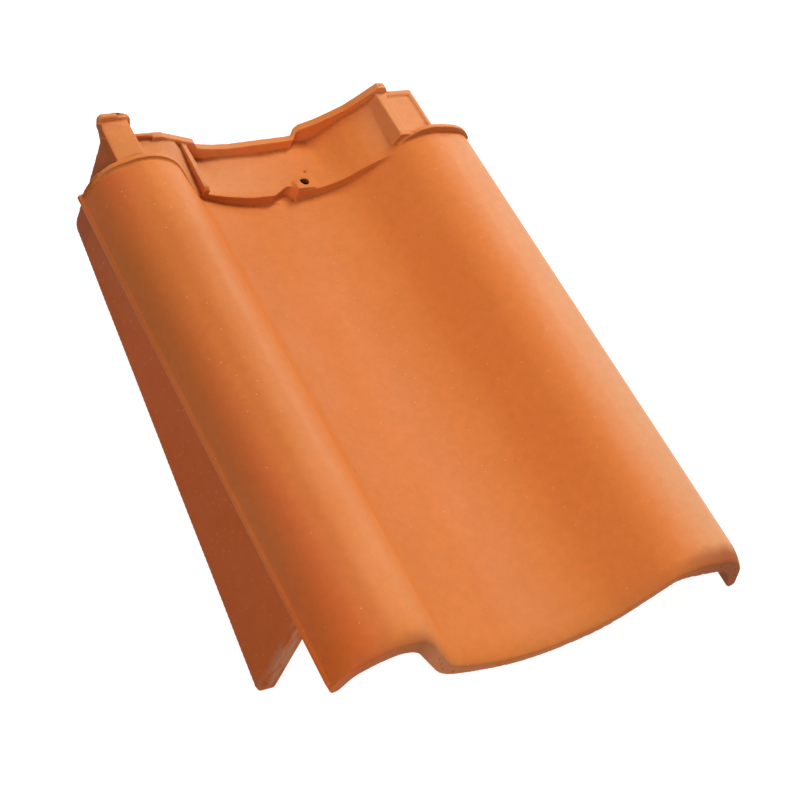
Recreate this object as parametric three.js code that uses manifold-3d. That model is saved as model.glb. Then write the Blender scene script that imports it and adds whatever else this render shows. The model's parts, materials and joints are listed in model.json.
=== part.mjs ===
// Interlocking clay pantile for the left-hand verge of a roof: one roll at each side of a wide pan,
// a flange that hangs outside the gable under the left roll, and a ribbed head. One piece of clay.
// Working frame while it is shaped (mm): X across the tile from the left lip, Y from the tail edge
// towards the head, Z up out of the weathered face. At the end the whole piece is laid down the way
// it rests on a floor.
import * as THREE from 'three';
import { mergeVertices } from 'three/addons/utils/BufferGeometryUtils.js';
import Module from 'manifold-3d';

// ---- sizes, mm ---------------------------------------------------------------------------------
const tileLength = 397;        // tail edge to the back of the head rim
const headLength = 41.5;       // the head: from the step at the end of the pan to the back of the rim

const leftCrestX = 40;         // left lip to the crest of the left roll
const rollPitch = 208;         // crest to crest, the width one tile covers
const rightOverhang = 43;      // right crest to the outside of the right lip
const rollTop = 33.8;          // crest height over the foot of the left lip
const panDepth = 53.2;         // crest down to the lowest line of the pan

const crestWall = 13;          // clay under the two crests
const panWall = 9.4;           // clay under the pan
const flankWall = 8;           // clay in the flank of the right roll
const lipWall = 6.5;           // clay at the two side lips
const lipRun = 26;             // length over which the clay thins towards a lip

const tailRunout = 15;         // length over which the tail edge is rounded down
const tailDrop = 5;            // how far the rounding comes down

const beadHeight = 2.6;        // drip bead along the left lip
const beadReach = 2.2;         // how far it stands out from the lip
const beadFront = 3;           // tail edge to the start of the bead

const ribWidth = 3.2;          // weather ribs across the heads of the two rolls
const leftRibRun = 0.7;        // the pan's step to the rib over the left roll
const rightRibRun = 2.3;       // and to the one over the right roll
const leftRibHeight = 2;
const rightRibHeight = 4.9;
const leftRibSweep = 0.33;     // run forward of the left rib per mm across the roll's right flank
const rightRibSkew = 0.05;     // run back of the right rib per mm towards the right

const panStep = 7.3;           // head floor above the pan
const stepSkew = 0.034;        // run forward of the step per mm towards the right
const headSlab = 10;           // clay under the head floor
const rimWidth = 5;            // rim along the back edge of the head
const rimJog = 5.7;            // how much further back it stands on the right roll
const rimCut = 2;              // how much narrower the rim is beside the bar

const flangeInset = 12;        // left lip to the outer face of the flange
const flangeWall = 9;
const flangeFront = 51;        // tail edge to the front edge of the flange
const flangeRun = 18;          // the pan's step to the back edge of the flange
const flangeLean = 9;          // how much further back that edge is at its top
const flangeDraft = 4;         // how much the outer face leans in towards its top
const flangeDraftFoot = -20;   // where that lean starts
const flangeFrontDepth = 93;   // lip foot down to the lower edge, at the front
const flangeBackDepth = 39.5;  // and at the back
const flangeCorner = 6;        // radius of the two lower corners

const barWidth = 22;           // bar along the head of the left roll, over the flange
const barRise = 1.2;           // its top over the crest
const barDepth = 8;            // clay of the bar where it runs out past the flange
const barSetback = 7;          // end of the bar to the back of the rim
const barDip = 2.9;            // how far the bar's left edge lies under its right one, past the flange
const barFrontDip = 4.6;       // and behind the weather rib
const capLength = 3.4;         // cap across the end of the bar, along the tile
const capHeight = 1.8;
const capStep = 1.7;           // the left half of the cap is higher

const sideRibReach = 46;       // left crest to the rib between the left roll's head and the pan floor
const sideRibWidth = 4.2;
const sideRibSkew = 4.3;       // how much further left its back end is
const lockReach = 25;          // right crest to the left side of the flat side lock
const lockWidth = 29;
const lockDrop = 0.2;          // top of the lock under the crest
const lockRun = 2.5;           // how far the lock runs out past the rim
const lockBorder = [7.5, 3.2, 4.4];  // its raised border at the left, the right and the back
const lockSink = 1.3;          // depth of the flat inside the border
const knobRise = 4.9;          // knob that ends the rim over the side lock, above the lock's top
const knobReach = 9.7;         // how far the knob reaches over the lock

const nailHole = 5.8;          // nail hole diameter
const nailOffset = 20.6;       // middle of the pan to the nail hole
const nailRun = 6.4;           // and the pan's step to it
const padReach = 7;            // pad round the nail hole, from the hole's centre to its sides
const padRise = 1.6;
const padFlank = 2.6;          // run of its sloping sides
const notchWidth = 19;         // notch in the step beside the pad
const notchDepth = 5.6;

const nibWidth = 30;           // hanging nibs under the head
const nibDepth = 14;
const nibLength = 14;
const nibRun = 10.5;           // the pan's step to the bearing face of the nibs
const nibOffsets = [-32, 34];  // middle of the pan to the two nibs

const sink = 4;                // how far a raised feature reaches into the clay it grows from

// ---- small helpers -----------------------------------------------------------------------------
const clamp = (v, a, b) => Math.min(b, Math.max(a, v));
const mix = (a, b, t) => a + (b - a) * t;
const steps = (a, b, n) => Array.from({ length: n + 1 }, (_, i) => mix(a, b, i / n));

// A line through [x, y, radius] corners, each rounded to its radius. Two roundings that would
// overlap on the edge between them both draw in.
function rounded(corners, arcStep = 0.045) {
  const at = corners.map(([x, y]) => new THREE.Vector2(x, y));
  const turns = corners.map(([, , radius], i) => {
    if (!radius) return { run: 0 };
    const back = at[i - 1].clone().sub(at[i]).normalize();
    const ahead = at[i + 1].clone().sub(at[i]).normalize();
    const half = Math.acos(clamp(back.dot(ahead), -1, 1)) / 2;
    return { back, ahead, half, run: radius / Math.tan(half) };
  });
  const share = at.map(() => 1);
  for (let i = 1; i < at.length; i++) {
    const fit = Math.min(1, at[i].distanceTo(at[i - 1]) / (turns[i].run + turns[i - 1].run + 1e-6));
    share[i - 1] = Math.min(share[i - 1], fit);
    share[i] = Math.min(share[i], fit);
  }
  const out = [];
  turns.forEach(({ back, ahead, half, run }, i) => {
    if (!run) {
      out.push(at[i]);
      return;
    }
    const length = run * share[i], radius = length * Math.tan(half);
    const centre = back.clone().add(ahead).setLength(radius / Math.sin(half)).add(at[i]);
    const start = at[i].clone().addScaledVector(back, length).sub(centre).angle();
    const end = at[i].clone().addScaledVector(ahead, length).sub(centre).angle();
    const turn = Math.atan2(Math.sin(end - start), Math.cos(end - start));
    for (const a of steps(start, start + turn, Math.max(2, Math.ceil(Math.abs(turn) / arcStep)))) {
      out.push(new THREE.Vector2(Math.cos(a), Math.sin(a)).multiplyScalar(radius).add(centre));
    }
  });
  return out.filter((p, i) => i === 0 || p.distanceTo(out[i - 1]) > 0.01);
}

// Straight lines through [x, z] pairs.
function through(pairs) {
  return (x) => {
    const i = pairs.findIndex(([px]) => x <= px);
    if (i === 0) return pairs[0][1];
    if (i < 0) return pairs[pairs.length - 1][1];
    const [x0, z0] = pairs[i - 1], [x1, z1] = pairs[i];
    return mix(z0, z1, (x - x0) / (x1 - x0));
  };
}

// A closed skin through rings of equal length. Each end is closed by zipping the ring's two sides
// together, from its first point (tip) or from its first and last.
function loft(rings, tip = false) {
  const n = rings[0].length;
  const position = rings.flat().flatMap((p) => [p.x, p.y, p.z]);
  const index = [];
  for (let r = 0; r < rings.length - 1; r++) {
    for (let i = 0; i < n; i++) {
      const a = r * n + i, b = r * n + (i + 1) % n;
      index.push(a, b, b + n, a, b + n, a + n);
    }
  }
  const cap = tip ? [[0, 1, n - 1]] : [];
  for (let i = tip ? 1 : 0, j = n - 1; j - i > 1; i++, j--) {
    cap.push([i, i + 1, j]);
    if (j - i > 2) cap.push([i + 1, j - 1, j]);
  }
  const last = (rings.length - 1) * n;
  for (const [a, b, c] of cap) index.push(a, c, b, last + a, last + b, last + c);
  const g = new THREE.BufferGeometry();
  g.setAttribute('position', new THREE.Float32BufferAttribute(position, 3));
  g.setIndex(index);
  return g;
}

// A slab over a grid of x and y stations, between two surfaces; shift moves its points along Y.
function slab(xs, ys, top, bottom, shift = () => 0) {
  const row = (y, surface) => xs.map((x) => new THREE.Vector3(x, y + shift(x, y), surface(x, y)));
  return loft(ys.map((y) => [...row(y, top), ...row(y, bottom).reverse()]));
}

// An outline of [x, z] points carried along Y, and one of [y, z] points carried along X.
function alongY(outline, y0, y1) {
  return loft([y0, y1].map((y) => outline.map(([x, z]) => new THREE.Vector3(x, y, z))));
}
function alongX(outline, x0, x1) {
  const g = new THREE.ExtrudeGeometry(new THREE.Shape(outline), { depth: x1 - x0, bevelEnabled: false });
  const axes = new THREE.Matrix4().set(0, 0, 1, x0, 1, 0, 0, 0, 0, 1, 0, 0, 0, 0, 0, 1);
  return g.applyMatrix4(axes);
}

// ---- stations along and across the tile --------------------------------------------------------
const panLength = tileLength - headLength;
const bodyEnd = panLength + 2.2;   // the rolled section runs on a little under the head
const leftRibY = panLength + leftRibRun;
const rightRibY = panLength + rightRibRun;
const flangeBack = panLength + flangeRun;
const barEnd = tileLength - barSetback;
const nailY = panLength + nailRun;
const nibY = panLength + nibRun;

const rightCrestX = leftCrestX + rollPitch;
const tileWidth = rightCrestX + rightOverhang;
const panMiddle = leftCrestX + rollPitch / 2;
const sideRibX = leftCrestX + sideRibReach;
const lockX = rightCrestX - lockReach;
const nailX = panMiddle + nailOffset;

const panLow = rollTop - panDepth;
const barTop = rollTop + barRise;
const lockTop = rollTop - lockDrop;
const knobTop = lockTop + knobRise;

// ---- the rolled section ------------------------------------------------------------------------
const across = (share) => leftCrestX + share * rollPitch;

const weatherLine = rounded([
  [-1, -1],
  [leftCrestX * 0.095, rollTop - 10.1, 27.7],
  [across(0.032), rollTop + 6.2, 32.5],
  [across(0.217), panLow + 10.5, 27],
  [across(0.477), panLow - 7.8, 117],
  [across(0.732), panLow + 13.2, 59],
  [across(0.931), rollTop + 2.6, 39],
  [rightCrestX + rightOverhang * 0.838, rollTop - 5.4, 26],
  [tileWidth + 0.2, -2.4],
]);
const weatherZ = through(weatherLine.map((p) => [p.x, p.y]));

// Thickness of the clay across the section, and its thinning towards the two lips.
const wallAcross = through([[across(0.14), crestWall], [across(0.2), mix(panWall, crestWall, 0.65)],
  [across(0.35), panWall], [across(0.7), panWall], [across(0.83), flankWall], [across(0.89), flankWall],
  [across(0.98), crestWall]]);
const run = [0];
weatherLine.slice(1).forEach((p, i) => run.push(run[i] + p.distanceTo(weatherLine[i])));
const fullness = run.map((s) => clamp(Math.min(s, run[run.length - 1] - s) / lipRun, 0, 1));
const thickness = weatherLine.map((p, i) => mix(lipWall, wallAcross(p.x), fullness[i]));
const inward = weatherLine.map((p, i) => {
  const before = weatherLine[Math.max(0, i - 1)];
  const after = weatherLine[Math.min(weatherLine.length - 1, i + 1)];
  const along = after.clone().sub(before).normalize();
  return new THREE.Vector2(along.y, -along.x);
});
const underLine = weatherLine.map((p, i) => p.clone().addScaledVector(inward[i], thickness[i]));

// The section's ring at one station, with rounded lips; drop is how far its outer face is down where
// the clay is thickest.
function sectionRing(y, drop) {
  const share = (i) => fullness[i] * thickness[i] / crestWall;
  const outer = weatherLine.map((p, i) => p.clone().addScaledVector(inward[i], drop * share(i)));
  const end = outer.length - 1;
  const lip = (from, to, out) => [0.25, 0.5, 0.75].map((t) => {
    const bulge = Math.sin(Math.PI * t) * from.distanceTo(to) * 0.32;
    return from.clone().lerp(to, t).addScaledVector(out, bulge);
  });
  const downLeft = new THREE.Vector2(inward[0].y, -inward[0].x);
  const downRight = new THREE.Vector2(-inward[end].y, inward[end].x);
  const left = lip(underLine[0], outer[0], downLeft);
  const right = lip(outer[end], underLine[end], downRight);
  return [...left.slice(1), ...outer, ...right, ...underLine.slice().reverse(), left[0]]
    .map((p) => new THREE.Vector3(p.x, y, p.y));
}

// Two rolls and the pan, with the tail edge rounded down to a flat face.
function body() {
  const tail = steps(0, Math.PI / 2, 6).map((a) =>
    sectionRing(tailRunout * (1 - Math.cos(a)), tailDrop * (1 - Math.sin(a))));
  return loft([...tail, sectionRing(bodyEnd, 0)], true);
}

// ---- head --------------------------------------------------------------------------------------
const headLeft = flangeInset + 0.8;
const barRight = flangeInset + barWidth + 0.4;
const lockRight = lockX + lockWidth;
const knobRight = lockX + knobReach;

// Floor: a sunk saddle between the bar and the side rib, then the pan floor, which stands a step
// above the pan and climbs to the foot of the rim.
const saddle = (pairs) => through(pairs.map(([x, down]) => [sideRibX + x, rollTop - down]));
const saddleFront = saddle([[-50, 11.8], [-36, 13.8], [-26, 18.8], [-16, 27.8], [-6, 36.8], [2, 41.8]]);
const saddleBack = saddle([[-50, 24.3], [-36, 23.8], [-24, 22.8], [-18, 22.6], [-14, 23], [-10, 24.2],
  [-6, 28.3], [-1.2, 33.3], [0, 34.8]]);
const stepFront = through([[-53, -2.2], [-42, -1.1], [-29, -0.3], [-16, 0.1], [-7, 1], [9, 1.3], [17, 0.9],
  [25, -0.1], [40, -0.1], [53, 0.5], [61, -1.3], [69, -4.5], [73, -6.1], [79, -7.2]]
  .map(([x, more]) => [panMiddle + x, panStep + more]));
const floorBack = through([[-58, 41], [-43, 44.1], [-36, 43.4], [-29, 42.9], [-14, 42.7], [1, 42.7],
  [9, 42.1], [16, 41.1], [28, 40.9], [39, 41.4], [45, 36.8], [51, 30.8], [56, 25], [62, 19.9], [68, 14.9],
  [74, 9.8], [77, 7.1], [79, 6.2]].map(([x, down]) => [panMiddle + x, rollTop - down]));
const backness = (y) => clamp((y - panLength) / (headLength - rimWidth), 0, 1);
const floorZ = (x, y) => (x < sideRibX
  ? mix(saddleFront(x), saddleBack(x), backness(y))
  : mix(weatherZ(x) + stepFront(x), floorBack(x), backness(y)));
const headBottom = (x) => (x < sideRibX
  ? mix(saddleBack(x), saddleFront(x), 0.2) - headSlab
  : weatherZ(x) - headSlab + 0.5);

// Top of the rim along the back edge: down beside the side rib, low across the pan, then up the
// right roll to the knob that ends it.
const rimBlock = lockX - 55;
const rimTop = through([
  ...[[-50, 19.3], [-25.6, 19.4], [-19.6, 19.6], [-17.8, 20.7], [-13, 21.9], [6.1, 28.3], [7.2, 32.8],
    [22.7, 35.2], [35, 35.7]].map(([x, down]) => [sideRibX + x, rollTop - down]),
  [panMiddle + 0.5, rollTop - 34.3], [rimBlock - 5, rollTop - 33.3], [rimBlock, rollTop - 32.3],
  ...[[-51, 35.1], [-48.5, 33.7], [-38.3, 29.8], [-28.6, 24.5], [-18.9, 18.6], [-10.3, 10.9], [-2.5, 3.2],
    [0.7, 0]].map(([x, down]) => [lockX + x, knobTop - down]),
  [knobRight - 3, knobTop - 0.3], [knobRight, knobTop - 4.7]]);

// How far the rim steps back where it starts up the right roll.
const rimShift = (x) => rimJog * clamp((x - rimBlock) / 4, 0, 1);

// The same step back for the floor behind, and the slant of its front edge.
const headShift = (x, y) => mix((panMiddle - x) * stepSkew, rimShift(x), backness(y));

export default await (async () => {
  const wasm = await Module();
  wasm.setup();

  // Six times the volume of a closed mesh, and its centre of volume.
  const weigh = (p, tris) => {
    const v = [0, 1, 2].map(() => new THREE.Vector3());
    const centre = new THREE.Vector3();
    let six = 0;
    for (let i = 0; i < tris.length; i += 3) {
      v.forEach((q, k) => q.fromBufferAttribute(p, tris[i + k]));
      const part = v[0].dot(v[1].clone().cross(v[2]));
      six += part;
      centre.addScaledVector(v[0].clone().add(v[1]).add(v[2]), part / 4);
    }
    return { six, centre: centre.divideScalar(six) };
  };

  // Between a three.js geometry and a solid that can be joined and cut.
  const solid = (g) => {
    for (const k of Object.keys(g.attributes)) if (k !== 'position') g.deleteAttribute(k);
    const merged = mergeVertices(g, 1e-4);
    const tris = new Uint32Array(merged.index.array);
    if (weigh(merged.attributes.position, tris).six < 0) {
      for (let i = 0; i < tris.length; i += 3) tris.subarray(i, i + 3).reverse();
    }
    return new wasm.Manifold(new wasm.Mesh({
      numProp: 3,
      vertProperties: new Float32Array(merged.attributes.position.array),
      triVerts: tris,
    }));
  };
  const geometryOf = (m) => {
    const mesh = m.getMesh();
    const g = new THREE.BufferGeometry();
    g.setAttribute('position', new THREE.Float32BufferAttribute(new Float32Array(mesh.vertProperties), 3));
    g.setIndex(new THREE.Uint32BufferAttribute(new Uint32Array(mesh.triVerts), 1));
    return g;
  };

  let tile = solid(body());
  const join = (g) => { tile = tile.add(solid(g)); };
  const cut = (g) => { tile = tile.subtract(solid(g)); };

  // Drip bead along the left lip.
  const bead = rounded([[3, -1], [-beadReach, -0.6, 1.5], [-beadReach, beadHeight, 1.7],
    [1.6, beadHeight + 1.2]], 0.35);
  join(alongY(bead.map((p) => [p.x, p.y]), beadFront, leftRibY + ribWidth + 0.8));

  // Web that closes the end of the left roll, and the head floor.
  const webX = steps(headLeft, sideRibX - 0.1, 26);
  join(slab(webX, [panLength - 8, leftRibY + 0.5], (x) => weatherZ(x) - 0.4,
    (x) => Math.min(headBottom(x), weatherZ(x) - crestWall)));
  const floorX = [...steps(barRight - 2, sideRibX - 0.1, 16), ...steps(sideRibX + 0.1, lockX + 1, 46)];
  join(slab(floorX, [panLength, ...steps(panLength + 6, tileLength - 2, 5)], floorZ, headBottom, headShift));

  // Weather ribs across the heads of the two rolls, each on a collar that carries the roll on to it.
  const weatherRib = (xs, length, height, shift) => {
    const inside = (x) => weatherZ(x) - sink;
    join(slab(xs, [panLength - 3, length], (x) => weatherZ(x) - 0.05, inside));
    join(slab(xs, [length, length + ribWidth], (x) => weatherZ(x) + height(x), inside, shift));
  };
  weatherRib(steps(0.1, sideRibX + 0.5, 34), leftRibY, (x) =>
    leftRibHeight * clamp((sideRibX - x) / 20, 0, 1), (x) => -leftRibSweep * Math.max(0, x - sideRibX + 24));
  const rightRib = through([[-2, 0.04], [6.6, 0.58], [12.5, 0.88], [18, 1], [38, 0.98], [47, 0.78],
    [61, 0.52]].map(([x, share]) => [lockX + x, rightRibHeight * share]));
  weatherRib(steps(lockX - 6, tileWidth - 7, 30), rightRibY, rightRib, (x) =>
    rightRibSkew * (x - rightCrestX));

  // Rim along the back of the head, narrower beside the bar.
  const rimLeft = [barRight + 1, sideRibX - 26.5];
  const rimX = [...steps(rimLeft[1], rimBlock, 30), ...steps(rimBlock, lockX - 2.5, 16).slice(1),
    lockX + 0.7, knobRight - 3, knobRight];
  join(slab(rimX, [tileLength - rimWidth, tileLength], rimTop, (x) => headBottom(x) + sink, rimShift));
  join(slab(steps(rimLeft[0], rimLeft[1] + 1, 5), [tileLength - rimWidth + rimCut, tileLength - 0.2],
    (x) => rimTop(x) - 0.1, (x) => headBottom(x) + sink));

  // Rib between the saddle and the pan floor.
  const sideRib = [[0.03, -1.6], [0.1, 0.7], [1, 7.1]].map(([t, top]) => {
    const left = sideRibX - sideRibSkew * t, right = left + sideRibWidth;
    const y = panLength + (headLength - rimWidth + 1) * t;
    return [[left, headBottom(left) + sink], [left, top], [right, top - 1.4 * t],
      [right, headBottom(right) + sink]].map(([x, z]) => new THREE.Vector3(x, y, z));
  });
  join(loft(sideRib));

  // Side lock: a tray with a raised border.
  const lockFoot = lockTop - headSlab;
  join(alongY([[lockX - sink, lockFoot], [lockX, lockTop], [lockRight, lockTop], [lockRight, lockFoot + 3],
    [lockRight - 3, lockFoot]], rightRibY + 0.4, tileLength + lockRun));
  const trayX = [lockX + lockBorder[0], lockRight - lockBorder[1]];
  const trayY = [rightRibY, tileLength + lockRun - lockBorder[2]];
  cut(alongY([[trayX[0], lockTop + sink], [trayX[1], lockTop + sink], [trayX[1], lockTop - lockSink],
    [trayX[0], lockTop - lockSink]], trayY[0] + ribWidth, trayY[1]));

  // Bar over the flange, running out past it, and the stepped cap across its end.
  const barLeft = flangeInset + flangeDraft + 0.2;
  const barRing = (y, foot, dip) => {
    const left = barLeft + 0.02 * (barEnd - y), edge = barTop - dip;
    return [[left + 3, foot], [barRight, foot - 1], [barRight, barTop], [left + 0.8, edge],
      [left, edge - 0.8], [left, foot + 1]].map(([x, z]) => new THREE.Vector3(x, y, z));
  };
  const barFoot = barTop - barDepth;
  join(loft([barRing(leftRibY + ribWidth - 0.8, 2, barFrontDip),
    barRing(flangeBack + flangeLean, barFoot - 5, barDip), barRing(barEnd, barFoot, 0.4)]));
  const capLeft = barLeft - 1.2, capRight = barRight + 2.2, capFoot = barFoot + 2;
  const capMiddle = mix(capLeft, capRight, 0.58), capLine = barTop + capHeight;
  join(alongY([[capLeft + 1.7, capFoot - 2.2], [capRight + 5, capFoot - 10], [capRight, capLine - 1.5],
    [capRight - 1.5, capLine], [capMiddle, capLine], [capMiddle - 1, capLine + capStep],
    [capLeft + 2, capLine + capStep - 0.4], [capLeft, capLine - 0.6], [capLeft, capFoot + 4.6]],
  barEnd - 1, barEnd + capLength - 1));

  // Flange under the left roll.
  const flangeTop = barTop - barDip - 4.5;
  const flange = rounded([[flangeFront, rollTop - crestWall], [flangeFront, -flangeFrontDepth, flangeCorner],
    [flangeBack, -flangeBackDepth, flangeCorner], [flangeBack + flangeLean * 0.28, -4],
    [flangeBack + flangeLean, flangeTop], [panLength - 3, flangeTop - 2.4],
    [panLength - 3, rollTop - crestWall]], 0.3);
  const draftTop = flangeInset + flangeDraft;
  const draft = alongY([[flangeInset - 1, flangeDraftFoot], [flangeInset, flangeDraftFoot],
    [draftTop, flangeTop], [draftTop, barTop], [flangeInset - 1, barTop]], flangeFront - 1, barEnd);
  tile = tile.add(solid(alongX(flange, flangeInset, flangeInset + flangeWall)).subtract(solid(draft)));

  // Nail hole through its pad, which stands out of the floor on the side towards the left roll.
  const nailZ = floorZ(nailX, nailY), padZ = nailZ + padRise, padX = nailX - padReach;
  const padBack = nailY + padReach - 2;
  join(slab([padX - padFlank, padX, nailX + padReach + padFlank], [panLength + 0.2, nailY - 1, padBack],
    (x, y) => (x < padX || y === padBack ? floorZ(x, y) - 0.3 : padZ), () => nailZ - sink));
  const hole = new THREE.CylinderGeometry(nailHole / 2, nailHole / 2, 60, 32);
  cut(hole.rotateX(Math.PI / 2).translate(nailX, nailY, nailZ));

  // Notch in the step beside the pad.
  const notchRight = padX + 0.5;
  const notchLine = [[0, -0.8], [0.65, notchDepth], [0.8, notchDepth], [1, -0.5]];
  const notch = new THREE.Shape(notchLine.map(([share, y]) =>
    new THREE.Vector2(notchRight - notchWidth * (1 - share), panLength + y)));
  const notchZ = weatherZ(notchRight - notchWidth / 2) + 0.6;
  cut(new THREE.ExtrudeGeometry(notch, { depth: 2 * panStep, bevelEnabled: false }).translate(0, 0, notchZ));

  // Hanging nibs under the head.
  for (const offset of nibOffsets) {
    const x = panMiddle + offset;
    const foot = weatherZ(x) - headSlab - nibDepth, root = foot + nibDepth + sink;
    const ring = (y, half, rise) => [[-half, foot + rise], [half, foot + rise], [half + 2, root],
      [-half - 2, root]].map(([dx, z]) => new THREE.Vector3(x + dx, y, z));
    join(loft([ring(nibY, nibWidth / 2, 0), ring(nibY + nibLength, nibWidth / 2 - 2, 2)]));
  }

  // How the piece lies by itself: on the face of its wrapped outline that its centre of weight is
  // over, among the faces that look down; then centred over the origin with its lowest point at 0.
  tile = tile.simplify(0.01);
  const g = geometryOf(tile), wrap = geometryOf(tile.hull());
  const { centre } = weigh(g.attributes.position, g.index.array);
  let rest = { margin: -Infinity };
  for (let i = 0; i < wrap.index.count; i += 3) {
    const face = new THREE.Triangle();
    face.setFromAttributeAndIndices(wrap.attributes.position, ...wrap.index.array.subarray(i, i + 3));
    const normal = face.getNormal(new THREE.Vector3());
    if (normal.z > -0.6 || face.getArea() < 50) continue;
    const under = centre.clone().addScaledVector(normal, normal.dot(face.a) - normal.dot(centre));
    const inside = face.getBarycoord(under, new THREE.Vector3());
    const margin = Math.min(inside.x, inside.y, inside.z);
    if (margin > rest.margin) rest = { margin, normal };
  }
  g.applyQuaternion(new THREE.Quaternion().setFromUnitVectors(rest.normal, new THREE.Vector3(0, 0, -1)));
  g.computeBoundingBox();
  const middle = g.boundingBox.getCenter(new THREE.Vector3());
  g.translate(-middle.x, -middle.y, -g.boundingBox.min.z);
  g.computeVertexNormals();

  const clay = new THREE.MeshStandardMaterial({ name: 'terracotta', color: 0xc9713c, roughness: 0.85 });
  const mesh = new THREE.Mesh(g, clay);
  mesh.name = 'verge_tile';
  const part = new THREE.Group();
  part.name = 'clay_verge_pantile';
  part.add(mesh);
  return part;
})();
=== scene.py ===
# %% [markdown]
# # A clay verge tile, finished around its imported solid
# The imported solid gives the tile its true size and place. It is loaded first, and it is kept.

# %% Load the imported tile
import json
import math

import bmesh
import bpy
import numpy as np
from mathutils import Matrix, Vector


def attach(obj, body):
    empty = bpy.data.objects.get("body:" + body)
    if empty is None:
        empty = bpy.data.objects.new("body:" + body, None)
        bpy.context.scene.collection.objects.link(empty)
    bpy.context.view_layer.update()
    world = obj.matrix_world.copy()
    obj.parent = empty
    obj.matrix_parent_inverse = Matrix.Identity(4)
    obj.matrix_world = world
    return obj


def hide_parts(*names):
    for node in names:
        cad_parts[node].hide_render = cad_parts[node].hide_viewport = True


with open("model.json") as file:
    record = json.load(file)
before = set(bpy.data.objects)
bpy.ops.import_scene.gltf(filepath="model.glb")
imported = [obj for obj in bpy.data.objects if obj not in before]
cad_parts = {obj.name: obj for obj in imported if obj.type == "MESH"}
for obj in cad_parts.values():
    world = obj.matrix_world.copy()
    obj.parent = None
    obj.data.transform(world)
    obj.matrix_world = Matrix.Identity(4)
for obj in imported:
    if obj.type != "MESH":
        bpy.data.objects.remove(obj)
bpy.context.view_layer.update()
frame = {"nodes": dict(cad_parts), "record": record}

MM = 0.001

# %% [markdown]
# ## The tile's own axes
# The tile lies unheld on the floor, so it leans over onto its flange. The mould that pressed it
# knows nothing of that lean: rolls, ribs and head all run along the mould's axes. Two faces in
# the record, the hanging nib's and the flange's, point along those axes, so the lean is read
# from them, and every later step can work on the tile as if it were straight: X across it from
# the left lip, Y from the tail towards the head, Z out of the weathered face.

# %% Axes of the mould in the room
mounts = {m["name"]: m for m in frame["record"]["mounts"]}
across = Vector(mounts["flange_inside"]["axis"])
along = -Vector(mounts["nib_bearing"]["axis"])
# The middle of the nib's bearing face, measured in the mould.
NIB_FACE = Vector((112, 366, -36)) * MM
LEAN = Matrix((across, along, across.cross(along))).transposed().to_4x4()
LEAN.translation = Vector(mounts["nib_bearing"]["pos_m"]) - LEAN.to_3x3() @ NIB_FACE
print("the tile leans", round(math.degrees(math.acos(LEAN[2][2])), 1), "degrees")

# %% [markdown]
# ## Clay skin
# Pressed clay has no knife edges: the die leaves every corner slightly round, and drying and
# firing soften it more. A bevel would have to find each edge among thousands of facets. A voxel
# remesh instead turns the solid into an even skin of small squares, and a few rounds of
# smoothing then round all corners by the same fraction of a millimetre. The remesh is made in
# the mould's axes, so that the squares run along the rolls and across them.

# %% Fine skin from the solid
SKIN = 0.6 * MM
WELD = 0.002 * MM

clay = bpy.data.objects.new("clay_skin", frame["nodes"]["verge_tile"].data.copy())
bpy.context.scene.collection.objects.link(clay)
clay.data.transform(LEAN.inverted())
welder = bmesh.new()
welder.from_mesh(clay.data)
bmesh.ops.remove_doubles(welder, verts=welder.verts, dist=WELD)
welder.to_mesh(clay.data)
welder.free()
skin = clay.modifiers.new("skin", "REMESH")
skin.mode, skin.voxel_size, skin.use_smooth_shade = "VOXEL", SKIN, True


def bake_modifiers(piece):
    """Puts what the modifiers make into the piece's own mesh."""
    seen = piece.evaluated_get(bpy.context.evaluated_depsgraph_get())
    made = bpy.data.meshes.new_from_object(seen)
    piece.modifiers.clear()
    piece.data = made
    print(piece.name, len(made.vertices), "points", len(made.polygons), "faces")


bake_modifiers(clay)

# %% Points, edges and normals as arrays
def points_of(mesh):
    """Every point's place, one row each."""
    at = np.empty(len(mesh.vertices) * 3, np.float32)
    mesh.vertices.foreach_get("co", at)
    return at.reshape(-1, 3).astype(float)


def edges_of(mesh):
    """The two ends of every edge."""
    pairs = np.empty(len(mesh.edges) * 2, np.int32)
    mesh.edges.foreach_get("vertices", pairs)
    return pairs[0::2], pairs[1::2]


def normals_of(mesh):
    """Every point's outward direction."""
    out = np.empty(len(mesh.vertices) * 3, np.float32)
    mesh.vertex_normals.foreach_get("vector", out)
    return out.reshape(-1, 3).astype(float)


def neighbours_mean(values, a, b):
    """For every point, the mean of its neighbours' values."""
    count = len(values)
    many = np.bincount(a, minlength=count) + np.bincount(b, minlength=count)
    return (np.bincount(a, values[b], count) + np.bincount(b, values[a], count)) / many


def move_points(mesh, at):
    """Puts every point in its new place."""
    mesh.vertices.foreach_set("co", at.astype(np.float32).ravel())
    mesh.update()


# %% Round the corners
# Each round pulls the points together and then pushes them almost as far apart again, which
# softens the corners and keeps the size.
ROUNDS = 5
PULL, PUSH = 0.5, -0.38

spots = points_of(clay.data)
ends = edges_of(clay.data)
for _ in range(ROUNDS):
    for share in (PULL, PUSH):
        for axis in range(3):
            spots[:, axis] += share * (neighbours_mean(spots[:, axis], *ends) - spots[:, axis])
move_points(clay.data, spots)
print(ROUNDS, "rounds of smoothing over", len(spots), "points")

# %% [markdown]
# ## Marks of making
# A fired tile is never quite true. It sags and twists by tenths of a millimetre in the kiln, so
# that light wanders along its rolls. Grit torn out of the clay leaves pores, most of them on the
# cut tail edge, and a few knocks stay as dimples. All of these are real shapes, so they are
# pressed into the fine skin as small moves along its normals, before it is thinned out.

# %% Kiln warp
WARP = 0.12 * MM
WARP_WAVES = 14
SHORTEST, LONGEST = 28 * MM, 130 * MM
HEADING_SPREAD = (1.0, 0.6, 0.4)
KILN_SEED = 7

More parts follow.
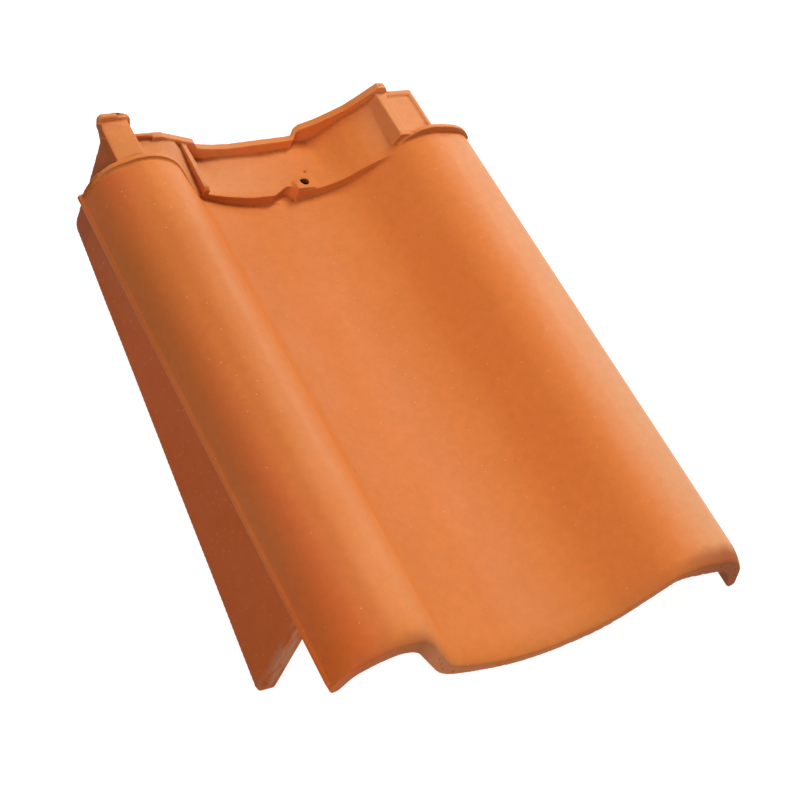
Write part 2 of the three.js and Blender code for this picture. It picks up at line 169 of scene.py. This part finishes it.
rng = np.random.default_rng(KILN_SEED)
outward = normals_of(clay.data)
lengths = rng.uniform(SHORTEST, LONGEST, WARP_WAVES)
headings = rng.normal(size=(WARP_WAVES, 3)) * HEADING_SPREAD
headings *= (2 * np.pi / lengths / np.linalg.norm(headings, axis=1))[:, None]
starts = rng.uniform(0, 2 * np.pi, WARP_WAVES)
warp = sum(np.sin(spots @ k + s) * length for k, s, length in zip(headings, starts, lengths))
# The highest wave keeps its place and all else sinks, so the warp never swells past the solid.
warp = (warp - warp.max()) * WARP / np.abs(warp).max()
spots += outward * warp[:, None]
print("warp", round(float(warp.min() / MM), 2), "to", round(float(warp.max() / MM), 2), "mm")

# %% Pores and dimples
# Beyond this many radii a pit is too shallow to matter.
PIT_REACH = 2.5
# Place, radius and depth of each, in mm.
PITS = [
    ((-2.0, 49.5, 2.0), 0.8, 0.7),
    ((225.7, 400.6, 38.4), 0.9, 0.8), ((233.0, 397.6, 33.4), 0.8, 0.6),
    ((169.5, 371.1, -7.3), 1.3, 0.7), ((150.0, 366.5, -10.5), 0.9, 0.4),
    ((68.5, 0.0, 2.4), 0.9, 0.7), ((73.0, 0.0, -4.6), 1.0, 0.8), ((76.5, 0.0, -10.7), 0.9, 0.8),
    ((81.9, 0.0, -15.1), 0.8, 0.7), ((86.7, 0.0, -18.1), 1.1, 0.9), ((92.8, 0.0, -20.4), 0.7, 0.6),
    ((122.0, 0.0, -23.4), 0.8, 0.6), ((158.0, 0.0, -23.0), 0.7, 0.5), ((204.0, 0.0, 1.6), 0.8, 0.6),
    ((262.0, 0.0, 25.0), 0.9, 0.7), ((279.0, 0.0, 16.5), 1.1, 0.9), ((283.5, 0.0, 9.0), 1.0, 0.8),
    ((286.5, 0.0, 3.5), 0.8, 0.7), ((222.7, 9.6, 24.5), 0.7, 0.3), ((225.6, 18.8, 26.9), 0.7, 0.3),
    ((12.0, 51.0, -80.0), 1.2, 0.5), ((16.0, 51.0, -62.0), 0.9, 0.5), ((14.0, 51.0, -41.0), 1.0, 0.5),
]


def radii_from(at, place, radius):
    """How many radii every point lies from the middle of a pit."""
    return np.linalg.norm(at - np.array(place) * MM, axis=1) / (radius * MM)


for place, radius, depth in PITS:
    away = radii_from(spots, place, radius)
    near = away < PIT_REACH
    spots[near] -= outward[near] * (depth * MM * np.exp(-away[near] ** 2))[:, None]
move_points(clay.data, spots)
print(len(PITS), "pores and dimples")

# %% [markdown]
# ## Thinning
# The even skin has far more faces than its shape needs. Collapsing edges keeps the small faces at
# corners, pores and bends, and lets the flat runs of the rolls and the pan have large ones.

# %% Thin out the skin
MOST_TRIANGLES = 190_000

thin = clay.modifiers.new("thin", "DECIMATE")
thin.ratio = min(1, MOST_TRIANGLES / (2 * len(clay.data.polygons)))
bake_modifiers(clay)

# %% [markdown]
# ## What the finish needs to know
# Four things about each point are written down while the tile is still straight: its place in
# the mould, so that grain and colour marks follow the tile and not the room; how sharply the
# surface bends there, because edges are painted paler, as wear and as a painted highlight, and
# corners get painted shade; which way it faces in the mould; and how deep it lies in a pore. A
# material could work out some of this from its own geometry nodes, but only in the room's axes,
# where the tile leans.

# %% Place in the mould and bend of the surface
place_note = clay.data.attributes.new("mould_place", "FLOAT_VECTOR", "POINT")
spots = points_of(clay.data)
place_note.data.foreach_set("vector", spots.astype(np.float32).ravel())

outward = normals_of(clay.data)
a, b = edges_of(clay.data)
step = spots[b] - spots[a]
span = np.maximum((step ** 2).sum(axis=1), WELD ** 2)
count = len(spots)
many = np.bincount(a, minlength=count) + np.bincount(b, minlength=count)
bend = -(np.bincount(a, (outward[a] * step).sum(axis=1) / span, count)
         - np.bincount(b, (outward[b] * step).sum(axis=1) / span, count)) / many
# A bend as tight as this radius counts as 1.
EDGE_RADIUS = 1.5 * MM
BEND_ROUNDS = 6
bend = np.clip(bend * EDGE_RADIUS, -1, 1)
for _ in range(BEND_ROUNDS):
    bend = (bend + neighbours_mean(bend, a, b)) / 2
bend_note = clay.data.attributes.new("bend", "FLOAT", "POINT")
bend_note.data.foreach_set("value", bend.astype(np.float32))
print("edges", int((bend > 0.25).sum()), "points, corners", int((bend < -0.25).sum()))

# %% Facing in the mould and depth in a pore
facing_note = clay.data.attributes.new("mould_facing", "FLOAT_VECTOR", "POINT")
facing_note.data.foreach_set("vector", outward.astype(np.float32).ravel())

pore = np.zeros(count)
for place, radius, depth in PITS:
    away = radii_from(spots, place, radius)
    pore = np.maximum(pore, depth * np.exp(-away ** 2))
pore_note = clay.data.attributes.new("pore", "FLOAT", "POINT")
pore_note.data.foreach_set("value", pore.astype(np.float32))
print("deepest point in a pore", round(float(pore.max()), 2), "mm")

# %% [markdown]
# ## Back onto the floor
# The skin is laid down with the lean that the axes were read with, so it comes to rest exactly
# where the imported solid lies, and the solid is hidden behind it. The solid itself isn't touched.

# %% Lay it down in place of the solid
clay.data.transform(LEAN)
clay.data.shade_smooth()
clay.name = "fired_clay_tile"
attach(clay, "root")
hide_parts("verge_tile")
print(clay.name, "lies where the solid does")

# %% [markdown]
# ## Terracotta
# Iron in the clay burns to orange where the kiln's air is free and to red-brown where it is
# not, so the colour drifts over hand-wide patches. The body itself is a mix of fine grit in a
# fine matrix: a grain of about a millimetre, a few pale grains of sand and dark grains of iron.
# The face is dense and slightly satin from the press. Noise and cell textures give all this
# without an image, each at the size that it has in the clay. There is one material, as the tile
# is one piece of clay, and the next cells add to its colour in this order: body, bands of painted
# light and shade, grit, then wear with painted highlight and painted shade.

# %% A material and a short way to add nodes
terracotta = bpy.data.materials.new("fired_terracotta")
terracotta.use_nodes = True
tree = terracotta.node_tree
surface = tree.nodes["Principled BSDF"]


def node(kind, *sockets, **settings):
    """Adds a node. A socket's value is set, and another node's output is linked to it."""
    made = tree.nodes.new("ShaderNode" + kind)
    for name, value in settings.items():
        setattr(made, name, value)
    for name, value in sockets:
        if isinstance(value, bpy.types.NodeSocket):
            tree.links.new(value, made.inputs[name])
        else:
            made.inputs[name].default_value = value
    return made


def math_of(operation, *values, clamp=False):
    """One step of arithmetic on masks and places."""
    made = node("Math", *enumerate(values), operation=operation, use_clamp=clamp)
    return made.outputs[0]


def both(one, other):
    """A mask where both masks are, or one mask made weaker by a number."""
    return math_of("MULTIPLY", one, other)


def ramp_of(value, low, high, to_low=0.0, to_high=1.0):
    """Carries a value's range low..high over to another, and stops at its ends."""
    made = node("MapRange", ("Value", value), ("From Min", low), ("From Max", high),
                ("To Min", to_low), ("To Max", to_high))
    return made.outputs["Result"]


def mixed(factor, one, other, blend="MIX"):
    """One colour turning into another."""
    made = node("Mix", (0, factor), (6, one), (7, other), data_type="RGBA", blend_type=blend)
    return made.outputs[2]


# %% Where on the tile
mould_place = node("Attribute", attribute_name="mould_place").outputs["Vector"]
bend_here = node("Attribute", attribute_name="bend").outputs["Fac"]
pore_here = node("Attribute", attribute_name="pore").outputs["Fac"]
mould_facing = node("Attribute", attribute_name="mould_facing").outputs["Vector"]
faces = node("SeparateXYZ", (0, mould_facing)).outputs
lies = node("SeparateXYZ", (0, mould_place)).outputs
up_tile = lies["Y"]


def noise_of(size, detail=3.0, roughness=0.5, stretch=(1, 1, 1), shift=0.0):
    """Noise whose patches are about size metres across."""
    where = node("Mapping", ("Vector", mould_place), ("Scale", [s / size for s in stretch]),
                 ("Location", (shift, shift, shift))).outputs[0]
    made = node("TexNoise", ("Vector", where), ("Scale", 1.0), ("Detail", detail),
                ("Roughness", roughness))
    return made.outputs["Fac"]


# %% Colour of the fired body
ORANGE = (0.77, 0.229, 0.0525, 1)
RED = (0.72, 0.205, 0.045, 1)
BUFF = (0.81, 0.265, 0.072, 1)
DRIFT, CLOUD = 90 * MM, 34 * MM

# Noise lies mostly between 0.3 and 0.7, so the ramps over it start and end near there.
drift = ramp_of(noise_of(DRIFT, 2.0, stretch=(1, 0.6, 1)), 0.38, 0.68)
colour = mixed(both(drift, 0.55), ORANGE, RED)
cloud = ramp_of(noise_of(CLOUD, 4.0, 0.55, shift=3.1), 0.5, 0.75)
colour = mixed(both(cloud, 0.3), colour, BUFF)


def told(mark):
    """Says that a mark is in, and how many nodes the material has now."""
    print(mark + ":", len(tree.nodes), "nodes so far")


told("fired body")

# %% [markdown]
# ## Painted light and shade in bands
# Broad bands along the rolls, with soft borders, paint light and shade into the clay's colour.
# The pan, the flanks turned from the lamps, the flange, the undersides and the left roll's head end
# are painted darker and redder as painted shade. The right roll, the crests, the right lip and the
# head are painted paler as painted light. They could be painted by hand onto an image. Here each
# band is a soft mask in the mould's millimetres, which mixes in one colour. Its border wanders with
# a slow noise, so that it doesn't look ruled, and it stays in place if the tile is laid another way.

# %% Short ways to say where a band lies
def rise_of(value, start, end, to_low=0.0, to_high=1.0):
    """Goes from to_low to to_high between two places in mm."""
    return ramp_of(value, start * MM, end * MM, to_low, to_high)


def hump_of(value, start, top, end):
    """Rises from start to top and falls again to end, all in mm."""
    return math_of("MINIMUM", rise_of(value, start, top), rise_of(value, end, top))


def either(one, other):
    """A mask where at least one mask is."""
    return math_of("MAXIMUM", one, other)


BORDER, WANDER = 60 * MM, 3 * MM

border = noise_of(BORDER, 2.0, stretch=(1, 0.5, 1), shift=8.8)
over = math_of("ADD", lies["X"], ramp_of(border, 0.3, 0.7, -WANDER, WANDER))
on_body = rise_of(up_tile, 357, 352)
print("borders wander by", WANDER / MM, "mm to each side")

# %% Painted light and shade over the pan and the rolls
# A band's numbers are where it starts, is strongest and ends, in mm. A factor after them makes
# the whole band weaker.
PAN_SHADE = (0.69, 0.205, 0.043, 1)
SHADED_FLANK = (0.69, 0.153, 0.042, 1)
RIGHT_ROLL_LIGHT = (0.87, 0.232, 0.050, 1)
TAIL_CORNER_SHADE = (0.82, 0.150, 0.020, 1)
HEAD_END_SHADE = (0.63, 0.178, 0.037, 1)

# Painted shade: the middle of the pan is painted darker.
colour = mixed(both(hump_of(over, 56, 94, 138), 0.75), colour, PAN_SHADE)
# Painted shade: the left roll's outer flank and the right roll's inner flank, turned from the lamps,
# are painted darker and redder.
shaded_flanks = either(hump_of(over, -13, 9, 33), both(hump_of(over, 196, 213, 230), 0.25))
colour = mixed(both(shaded_flanks, on_body), colour, SHADED_FLANK)
# Painted light: the right roll, turned to the strongest lamps, is painted brighter.
colour = mixed(both(hump_of(over, 185, 228, 272), 0.6), colour, RIGHT_ROLL_LIGHT)
# Painted shade: near the tail's left corner the shaded left flank is painted a deeper red.
shaded_tail_corner = both(hump_of(over, -16, 0, 22), rise_of(up_tile, 80, 10, 0, 0.7))
colour = mixed(shaded_tail_corner, colour, TAIL_CORNER_SHADE)
# Painted shade: the left roll and the left of the pan are painted darker towards the head.
head_end_shade = both(rise_of(over, 155, 65), hump_of(up_tile, 110, 290, 345))
colour = mixed(both(head_end_shade, 0.65), colour, HEAD_END_SHADE)
told("bands over the pan and the rolls")

# %% Painted highlight on the crests, the right lip and the head
PAINTED_HIGHLIGHT = (0.76, 0.335, 0.148, 1)

# Painted highlight: the right lip, the crests and the head are painted paler, as a whitish sheen.
lip = both(rise_of(over, 236, 270), rise_of(up_tile, 300, 60, 0.75, 1.0))
lip = both(lip, rise_of(up_tile, 1, 6))
crests = either(both(hump_of(over, 34, 52, 92), 0.3), both(hump_of(over, 128, 160, 196), 0.1))
in_head = either(both(hump_of(over, -10, 80, 165), 0.6), rise_of(over, 205, 225, 0, 0.5))
in_head = both(in_head, rise_of(up_tile, 357, 362))
colour = mixed(either(both(either(crests, lip), on_body), in_head), colour, PAINTED_HIGHLIGHT)
told("pale crests, right lip and head")

# %% Painted shade on the underside, the flange and the side of the bar
SHADED_FLANGE = (0.66, 0.12, 0.012, 1)
SHADED_FLANGE_HEAD = (0.54, 0.098, 0.002, 1)
SHADED_BAR_SIDE = (0.42, 0.075, 0.006, 1)

# Painted shade: faces turned down, the flange, its head end and the bar's left side are painted darker
# and redder.
shaded_below = ramp_of(faces["Z"], 0.1, -0.3)
colour = mixed(both(shaded_below, 0.7), colour, SHADED_FLANK)
in_flange = math_of("MINIMUM", rise_of(over, 28, 22), rise_of(lies["Z"], -2, -8))
colour = mixed(in_flange, colour, SHADED_FLANGE)
colour = mixed(both(in_flange, rise_of(up_tile, 270, 345)), colour, SHADED_FLANGE_HEAD)
shaded_bar_side = both(ramp_of(faces["X"], -0.75, -0.92), rise_of(up_tile, 352, 358))
shaded_bar_side = both(shaded_bar_side, rise_of(over, 80, 60, 0, 0.8))
colour = mixed(shaded_bar_side, colour, SHADED_BAR_SIDE)
told("sheltered faces")

# %% [markdown]
# ## Grit
# Seen from near, fired clay is never one colour. Its matrix is mottled over some millimetres and
# grainy over about one, and single grains of sand and iron lie open in the face. Fine noise makes the
# first two. A cell texture gives the grains: each cell holds one dot, and only a small share of
# the cells, drawn by the cell's own random colour, shows it. Dots from a noise cut off at a
# level would have ragged shapes and uneven sizes.

# %% Fine mottle
GRAIN, BLOTCH = 1.3 * MM, 6 * MM

grain = noise_of(GRAIN, 5.0, 0.7, shift=7.7)
blotch = noise_of(BLOTCH, 5.0, 0.62, shift=2.6)
shade = both(ramp_of(grain, 0.25, 0.75, 0.97, 1.03), ramp_of(blotch, 0.3, 0.7, 0.955, 1.04))
grey = node("CombineXYZ", (0, shade), (1, shade), (2, shade)).outputs[0]
colour = mixed(1.0, colour, grey, "MULTIPLY")
told("mottle")

# %% Grains of sand and iron
SAND = (0.92, 0.50, 0.20, 1)
IRON = (0.20, 0.06, 0.025, 1)
GRAIN_SHOWS = 0.6


def grains(size, share, radius, shift):
    """Small dots, one in a given share of the cells."""
    where = node("Mapping", ("Vector", mould_place), ("Scale", (1 / size,) * 3),
                 ("Location", (shift, shift, shift))).outputs[0]
    cells = node("TexVoronoi", ("Vector", where), ("Scale", 1.0), voronoi_dimensions="3D")
    inside = ramp_of(cells.outputs["Distance"], radius / size, 0.5 * radius / size)
    lot = node("SeparateColor", (0, cells.outputs["Color"])).outputs[0]
    picked = math_of("GREATER_THAN", lot, 1 - share)
    return both(inside, picked)


# For each: size of a cell, share of the cells with a grain, the grain's radius, and a shift that
# keeps the two kinds apart.
sand = grains(4.2 * MM, 0.16, 0.55 * MM, 0.0)
iron = grains(6.5 * MM, 0.04, 0.5 * MM, 5.3)
colour = mixed(both(sand, GRAIN_SHOWS), colour, SAND)
colour = mixed(both(iron, GRAIN_SHOWS), colour, IRON)
told("sand and iron")

# %% [markdown]
# ## Wear and painted shade
# Edges rub pale where tiles are stacked and carried, and their paleness is also a painted highlight.
# Corners of the head get painted shade, and the tail edge is darker, partly painted shade and partly
# a duller tone. The nail hole and the pores get painted shade. The bend that was written down picks
# out edges and corners, so these marks follow the real shape. Ambient occlusion or a pointiness
# input could do it too, but the first is slow and the second depends on how fine the mesh is.

# %% Rubbed, lit edges and painted shade in corners
RUBBED_AND_LIT = (0.84, 0.36, 0.15, 1)
CORNER_SHADE = (0.33, 0.10, 0.030, 1)
RAGGED = 4 * MM

ragged = noise_of(RAGGED, 3.0, 0.6, shift=1.9)
# Edges are painted paler, partly as rubbed wear and partly as a painted highlight.
rubbed_lit = both(ramp_of(bend_here, 0.12, 0.5), ramp_of(ragged, 0.35, 0.6, 0.15, 0.45))
colour = mixed(rubbed_lit, colour, RUBBED_AND_LIT)
# Painted shade: concave corners and the step's front face under the head are painted dark brown.
corner_shade = both(ramp_of(bend_here, -0.05, -0.28), 0.75)
shaded_step_front = both(ramp_of(faces["Y"], -0.5, -0.8), hump_of(up_tile, 350, 356, 378))
corner_shade = either(corner_shade, both(shaded_step_front, 0.5))
colour = mixed(corner_shade, colour, CORNER_SHADE)
told("rubbed edges and dust")

# %% Darker tail edge: painted shade and a duller tone
TAIL_SHADE_AND_TONE = (0.43, 0.117, 0.040, 1)
FRAY, TAIL_WANDER = 14 * MM, 2 * MM

frayed = ramp_of(noise_of(FRAY, 3.0), 0.3, 0.7, -TAIL_WANDER, TAIL_WANDER)
to_tail = math_of("ADD", up_tile, frayed)
to_tail = math_of("SUBTRACT", to_tail, rise_of(over, 215, 262, 0, 5 * MM))
# The tail edge is painted darker: partly painted shade where it turns down from the lamps, partly a
# duller tone.
darkened = either(rise_of(over, 215, 264, 0.06, 0.92), both(hump_of(over, 14, 47, 65), 0.65))
tail = both(rise_of(to_tail, 8, 2), darkened)
colour = mixed(tail, colour, TAIL_SHADE_AND_TONE)
told("burnt tail edge")

# %% Scuffed end of the flange
SCUFF = (0.66, 0.30, 0.15, 1)
STREAK = 5 * MM

flange_end = both(in_flange, rise_of(up_tile, 58, 51))
streaks = noise_of(STREAK, 4.0, 0.6, stretch=(1, 1, 0.25), shift=6.1)
streaks = ramp_of(streaks, 0.44, 0.58, 0, 0.75)
colour = mixed(both(flange_end, streaks), colour, SCUFF)
told("scuffs")

# %% Painted shade in the nail hole and the pores
HOLE_SHADE = (0.05, 0.018, 0.008, 1)
NAIL_AT = Vector((164.6, 361.9, 0)) * MM
NAIL_RADIUS = 2.9

# Painted shade: the nail hole's wall and the pores are painted nearly black. The shade fades out
# over the hole's rim, and the flat face round it stays clean.
flat = node("CombineXYZ", (0, lies["X"]), (1, up_tile)).outputs[0]
from_nail = node("VectorMath", (0, flat), (1, NAIL_AT), operation="DISTANCE").outputs["Value"]
shaded_bore = both(rise_of(from_nail, NAIL_RADIUS + 0.5, NAIL_RADIUS + 0.1), ramp_of(faces["Z"], 0.75, 0.35))
shaded_pore = ramp_of(pore_here, 0.2, 0.55, 0, 0.8)
colour = mixed(either(both(shaded_bore, 0.9), shaded_pore), colour, HOLE_SHADE)
tree.links.new(colour, surface.inputs["Base Color"])
told("soot")

# %% [markdown]
# ## Touch
# Unglazed clay mirrors very little: it scatters nearly all light, and only the skin that the
# press closed has a faint satin. So the shader's specular level is low, set on its own socket
# because it is the same everywhere, and the roughness changes with slow patches, with the grain,
# where sand lies open and where the tail edge is darkened. What a finger feels is too fine for
# the mesh, so it is a bump.

# %% Satin of the pressed face
SATIN_PATCH = 26 * MM
MIRRORS = 0.06

satin = ramp_of(noise_of(SATIN_PATCH, 3.0, shift=4.4), 0.3, 0.7, 0.37, 0.45)
rough = math_of("ADD", satin, both(ramp_of(grain, 0.3, 0.7), 0.06))
rough = math_of("ADD", rough, both(either(sand, tail), 0.2), clamp=True)
tree.links.new(rough, surface.inputs["Roughness"])
surface.inputs["Specular IOR Level"].default_value = MIRRORS
told("satin")

# %% Grain that the fingers feel
FELT_GRAIN = 3.2 * MM
BUMP_DEPTH, BUMP_STRENGTH = 0.06 * MM, 0.35

height = math_of("ADD", both(grain, 0.6), both(noise_of(FELT_GRAIN, 3.0), 0.8))
height = math_of("SUBTRACT", height, both(iron, 0.8))
felt = node("Bump", ("Height", height), ("Strength", BUMP_STRENGTH), ("Distance", BUMP_DEPTH))
tree.links.new(felt.outputs["Normal"], surface.inputs["Normal"])
clay.data.materials.clear()
clay.data.materials.append(terracotta)
print(len(tree.nodes), "nodes in the terracotta")

# %% [markdown]
# ## Camera
# The camera stands out beyond the tail's left corner and high above it, with a long lens, which
# keeps the tile's edges nearly parallel. Its place and aim are known in the mould's axes, so
# they are carried into the room by the same lean as the tile.

# %% Camera
SENSOR = 36
FOCAL_PIXELS = 1918.62
FRAME_PIXELS = 800
EYE = Vector((-496.3, -367.1, 807.0)) * MM
RIGHT = Vector((0.8250, -0.4437, 0.3499))
SIGHT = Vector((0.5459, 0.4659, -0.6964))

lens = bpy.data.cameras.new("studio_camera")
lens.sensor_width, lens.lens = SENSOR, SENSOR * FOCAL_PIXELS / FRAME_PIXELS
camera = bpy.data.objects.new("studio_camera", lens)
bpy.context.scene.collection.objects.link(camera)
bpy.context.scene.camera = camera
facing = Matrix((RIGHT, RIGHT.cross(SIGHT), -SIGHT)).transposed().to_4x4()
facing.translation = EYE
camera.matrix_world = LEAN @ facing
print("camera at", [round(x, 3) for x in camera.matrix_world.translation])

# %% [markdown]
# ## Studio
# The floor is a wide sheet of matt paper. The camera sees it as white with only the tile's own
# soft shadow on it, so it gives off some light of its own to camera and mirror rays. To the
# clay's matt body it gives back only what it gets from the lamps. Stronger lamps would whiten it
# too, but they would bleach the clay with it.

# %% Floor
FLOOR_HALF = 6
PAPER = (0.45, 0.45, 0.45, 1)
PAPER_GLOW = 0.85
PAPER_ROUGHNESS = 0.9
WHITE = (1, 1, 1, 1)

floor_mesh = bpy.data.meshes.new("studio_floor")
floor_mesh.from_pydata([(-FLOOR_HALF, -FLOOR_HALF, 0), (FLOOR_HALF, -FLOOR_HALF, 0),
                        (FLOOR_HALF, FLOOR_HALF, 0), (-FLOOR_HALF, FLOOR_HALF, 0)], [], [(0, 1, 2, 3)])
studio_floor = bpy.data.objects.new("studio_floor", floor_mesh)
bpy.context.scene.collection.objects.link(studio_floor)


def seen_directly(nodes, links, strength):
    """Gives strength to rays from the camera, a mirror or through glass, and nothing to others."""
    ray = nodes.new("ShaderNodeLightPath")
    seen = ray.outputs["Is Camera Ray"]
    for kind in ("Is Glossy Ray", "Is Transmission Ray"):
        widened = nodes.new("ShaderNodeMath")
        widened.operation = "MAXIMUM"
        links.new(seen, widened.inputs[0])
        links.new(ray.outputs[kind], widened.inputs[1])
        seen = widened.outputs[0]
    times = nodes.new("ShaderNodeMath")
    times.operation = "MULTIPLY"
    times.inputs[1].default_value = strength
    links.new(seen, times.inputs[0])
    return times.outputs[0]


paper = bpy.data.materials.new("white_paper")
paper.use_nodes = True
paper_nodes, paper_links = paper.node_tree.nodes, paper.node_tree.links
sheet = paper_nodes["Principled BSDF"]
sheet.inputs["Base Color"].default_value = PAPER
sheet.inputs["Roughness"].default_value = PAPER_ROUGHNESS
sheet.inputs["Emission Color"].default_value = WHITE
paper_links.new(seen_directly(paper_nodes, paper_links, PAPER_GLOW), sheet.inputs["Emission Strength"])
floor_mesh.materials.append(paper)
print("paper", 2 * FLOOR_HALF, "m square")

# %% [markdown]
# ## Lamps
# Square soft boxes light the clay. The strongest stand beyond the tile's right side and a little
# towards its head, weaker ones at its left and before its tail, and the weakest behind its head,
# so the pan's far flank and the left roll's outer flank fall into soft shade and show the
# section. They stand far off, so that head and tail get the same light, and their size gives
# soft shadows.

# %% Lamps
BOX_SIZE = 1.3
BOX_AWAY = 4.0
AIM = Vector((0, 0, 60)) * MM
# Direction round the tile and height over the floor in degrees, and power in watts.
SOFTBOXES = {
    "right_back": (30, 40, 88), "right_back_low": (30, 5, 52), "front_left": (240, 40, 59),
    "right_back_high": (30, 62, 36), "left_front": (210, 40, 16), "back": (90, 20, 10),
}
for name, (turn, lift, power) in SOFTBOXES.items():
    lamp = bpy.data.lights.new(name, "AREA")
    lamp.shape, lamp.size, lamp.energy = "SQUARE", BOX_SIZE, power
    box = bpy.data.objects.new(name, lamp)
    turn, lift = math.radians(turn), math.radians(lift)
    away = Vector((math.cos(turn) * math.cos(lift), math.sin(turn) * math.cos(lift), math.sin(lift)))
    box.location = AIM + away * BOX_AWAY
    box.rotation_euler = (-away).to_track_quat("-Z", "Y").to_euler()
    bpy.context.scene.collection.objects.link(box)
print(len(SOFTBOXES), "soft boxes,", round(sum(v[2] for v in SOFTBOXES.values()), 1), "W in all")

# %% [markdown]
# ## World
# The room beyond the floor's edge is white to the camera and in mirrors, and gives the clay no
# light, so the lamps alone set how it is lit.

# %% World
BACKDROP_GLOW = 1.0

world = bpy.data.worlds.new("studio")
bpy.context.scene.world = world
world.use_nodes = True
sky = world.node_tree.nodes["Background"]
sky.inputs["Color"].default_value = WHITE
sky_nodes, sky_links = world.node_tree.nodes, world.node_tree.links
sky_links.new(seen_directly(sky_nodes, sky_links, BACKDROP_GLOW), sky.inputs["Strength"])
bpy.context.scene.view_settings.view_transform = "Standard"
print("view", bpy.context.scene.view_settings.view_transform)
